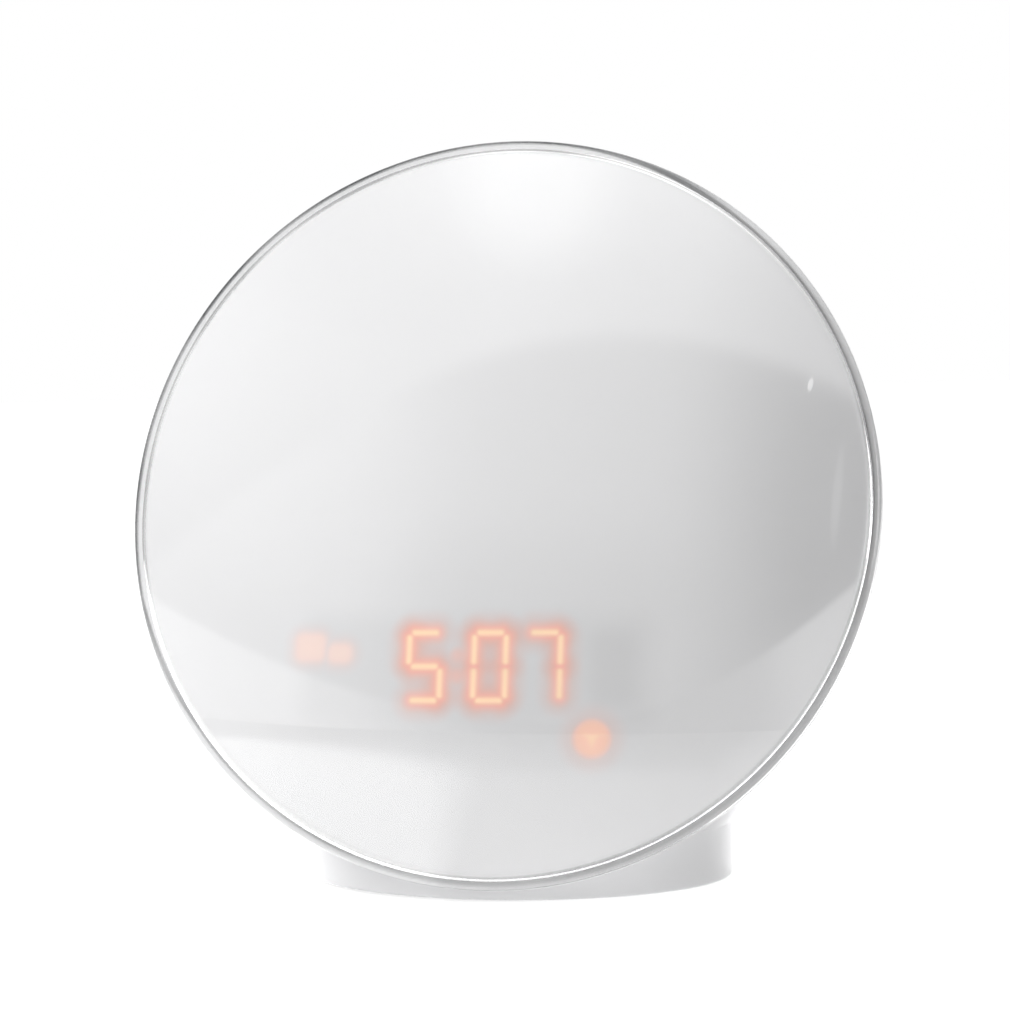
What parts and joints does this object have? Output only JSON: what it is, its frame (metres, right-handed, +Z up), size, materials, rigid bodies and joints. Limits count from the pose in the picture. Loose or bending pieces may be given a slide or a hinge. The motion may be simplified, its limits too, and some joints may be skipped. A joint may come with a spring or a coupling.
{
  "type": "sunrise alarm clock",
  "caption": "Round wake-up light clock: a domed glowing face with a time display leans back on a low oval foot, keys and loudspeaker behind.",
  "frame": {"origin": "on the table, midway between the front of the domed face and the back of the head", "axes": "+Z up; the face looks towards -Y and leans back 15.5 degrees; +X is to the right as seen from the front"},
  "size_m": [0.168, 0.0912, 0.1652],
  "materials": {
    "clear_acrylic": "clear moulded acrylic, polished",
    "opal_plastic": "milky light-spreading polycarbonate",
    "white_case": "white moulded ABS, smooth gloss",
    "white_key": "white moulded key caps",
    "reflector_white": "matt white reflector plastic",
    "white_board": "white solder mask on aluminium-backed board",
    "green_board": "green solder mask on glass-epoxy board",
    "lamp_chip": "phosphor lamp chips",
    "display_body": "grey display housing",
    "display_tile_lit": "orange-red glowing tiles",
    "display_tile_dark": "unlit translucent tiles",
    "indicator_tile": "warm translucent lens",
    "sleeve_black": "light-tight sleeve",
    "chip_black": "black moulded chips, switches and sockets",
    "connector_cream": "cream nylon connectors",
    "can_aluminium": "capacitor cans",
    "cell_steel": "nickel-plated steel",
    "plunger_plastic": "switch plungers",
    "ribbon": "flat ribbon cable",
    "screw_steel": "zinc-plated screws",
    "foam": "closed-cell foam ring",
    "speaker_steel": "black pressed steel",
    "magnet": "ferrite magnet",
    "speaker_paper": "black paper cone",
    "copper": "bare copper foil",
    "rubber_grey": "grey anti-slip rubber"
  },
  "bodies": {
    "case": {"front_cover": "clear_acrylic", "diffuser": "opal_plastic", "light_tray": "reflector_white", "led_board": "white_board", "led_chips": "lamp_chip", "display_board": "green_board", "display_module": "display_body", "display_lit_segments": "display_tile_lit", "display_dark_segments": "display_tile_dark", "display_ribbon": "ribbon", "indicator_sleeve": "sleeve_black", "indicator_lamp": "indicator_tile", "indicator_lens": "indicator_tile", "main_board": "green_board", "main_chips": "chip_black", "capacitors": "can_aluminium", "cell_holder": "chip_black", "coin_cell": "cell_steel", "wire_connectors": "connector_cream", "main_board_screws": "screw_steel", "key_switches": "chip_black", "key_board_left": "green_board", "key_board_right": "green_board", "key_board_screws": "screw_steel", "speaker_gasket": "foam", "speaker_frame": "speaker_steel", "speaker_magnet": "magnet", "speaker_screws": "screw_steel", "case_screws": "screw_steel", "touch_pad": "copper", "rear_shell": "white_case", "base_plate": "white_case", "rubber_feet": "rubber_grey", "base_screws": "screw_steel", "power_board": "green_board", "dc_jack": "chip_black", "power_capacitors": "can_aluminium", "power_board_screws": "screw_steel"},
    "key_light": {"key_light": "white_key", "plunger_light": "plunger_plastic"},
    "key_brightness_up": {"key_brightness_up": "white_key", "plunger_brightness_up": "plunger_plastic"},
    "key_brightness_down": {"key_brightness_down": "white_key", "plunger_brightness_down": "plunger_plastic"},
    "key_colour": {"key_colour": "white_key", "plunger_colour": "plunger_plastic"},
    "key_alarm": {"key_alarm": "white_key", "plunger_alarm": "plunger_plastic"},
    "key_time_set": {"key_time_set": "white_key", "plunger_time_set": "plunger_plastic"},
    "key_volume_up": {"key_volume_up": "white_key", "plunger_volume_up": "plunger_plastic"},
    "key_volume_down": {"key_volume_down": "white_key", "plunger_volume_down": "plunger_plastic"},
    "speaker_cone": {"speaker_cone": "speaker_paper"}
  },
  "joints": [
    {"name": "press_light", "type": "slide", "parent": "case", "child": "key_light", "axis": [0, -0.9636, 0.2672], "range_m": [0, 0.0008], "stiffness_N_per_m": 400},
    {"name": "press_brightness_up", "type": "slide", "parent": "case", "child": "key_brightness_up", "axis": [0, -0.9636, 0.2672], "range_m": [0, 0.0008], "stiffness_N_per_m": 400},
    {"name": "press_brightness_down", "type": "slide", "parent": "case", "child": "key_brightness_down", "axis": [0, -0.9636, 0.2672], "range_m": [0, 0.0008], "stiffness_N_per_m": 400},
    {"name": "press_colour", "type": "slide", "parent": "case", "child": "key_colour", "axis": [0, -0.9636, 0.2672], "range_m": [0, 0.0008], "stiffness_N_per_m": 400},
    {"name": "press_alarm", "type": "slide", "parent": "case", "child": "key_alarm", "axis": [0, -0.9636, 0.2672], "range_m": [0, 0.0008], "stiffness_N_per_m": 400},
    {"name": "press_time_set", "type": "slide", "parent": "case", "child": "key_time_set", "axis": [0, -0.9636, 0.2672], "range_m": [0, 0.0008], "stiffness_N_per_m": 400},
    {"name": "press_volume_up", "type": "slide", "parent": "case", "child": "key_volume_up", "axis": [0, -0.9636, 0.2672], "range_m": [0, 0.0008], "stiffness_N_per_m": 400},
    {"name": "press_volume_down", "type": "slide", "parent": "case", "child": "key_volume_down", "axis": [0, -0.9636, 0.2672], "range_m": [0, 0.0008], "stiffness_N_per_m": 400},
    {"name": "cone_travel", "type": "slide", "parent": "case", "child": "speaker_cone", "axis": [0, -0.9636, 0.2672], "range_m": [-0.0003, 0.0003], "stiffness_N_per_m": 1000}
  ]
}
